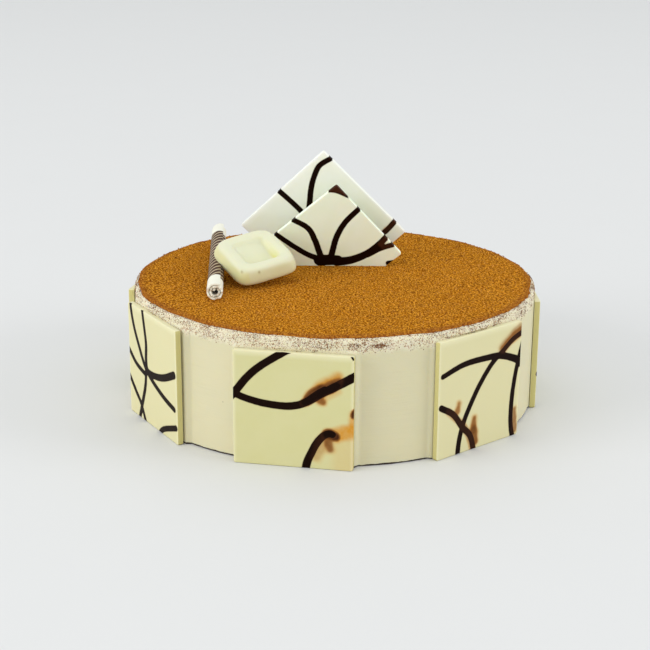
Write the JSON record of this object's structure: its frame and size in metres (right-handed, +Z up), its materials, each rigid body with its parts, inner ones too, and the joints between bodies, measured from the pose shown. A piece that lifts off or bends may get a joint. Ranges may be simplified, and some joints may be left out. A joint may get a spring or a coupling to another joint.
{
  "type": "tiramisu cake",
  "caption": "Round iced cake dusted with cocoa, squares of marbled white chocolate round its side, and upright squares, a small cup and a striped roll of chocolate on top.",
  "frame": {"origin": "middle of the cake's flat bottom, on its axis", "axes": "+Z up along the cake's axis, -Y towards the front, +X to the right seen from the front"},
  "size_m": [0.2051, 0.2106, 0.121],
  "materials": {
    "sponge": "dark damp sponge, matt",
    "cream": "smoothed ivory cream with fine spatula streaks",
    "cocoa": "dry grainy cocoa dust",
    "marbled_chocolate": "smooth ivory chocolate with dark printed curves",
    "pale_chocolate": "smooth pale chocolate with dark printed curves",
    "white_chocolate": "moulded white chocolate, satin",
    "striped_chocolate": "dark and white chocolate rolled in thin stripes, satin"
  },
  "bodies": {
    "root": {"sponge_base": "sponge", "cream_body": "cream", "cocoa_top": "cocoa", "side_panel_1": "marbled_chocolate", "side_panel_2": "marbled_chocolate", "side_panel_3": "marbled_chocolate", "side_panel_4": "marbled_chocolate", "side_panel_5": "marbled_chocolate", "side_panel_6": "marbled_chocolate", "side_panel_7": "marbled_chocolate", "back_plaque": "pale_chocolate", "front_plaque": "marbled_chocolate", "chocolate_cup": "white_chocolate", "chocolate_roll": "striped_chocolate"}
  },
  "joints": []
}
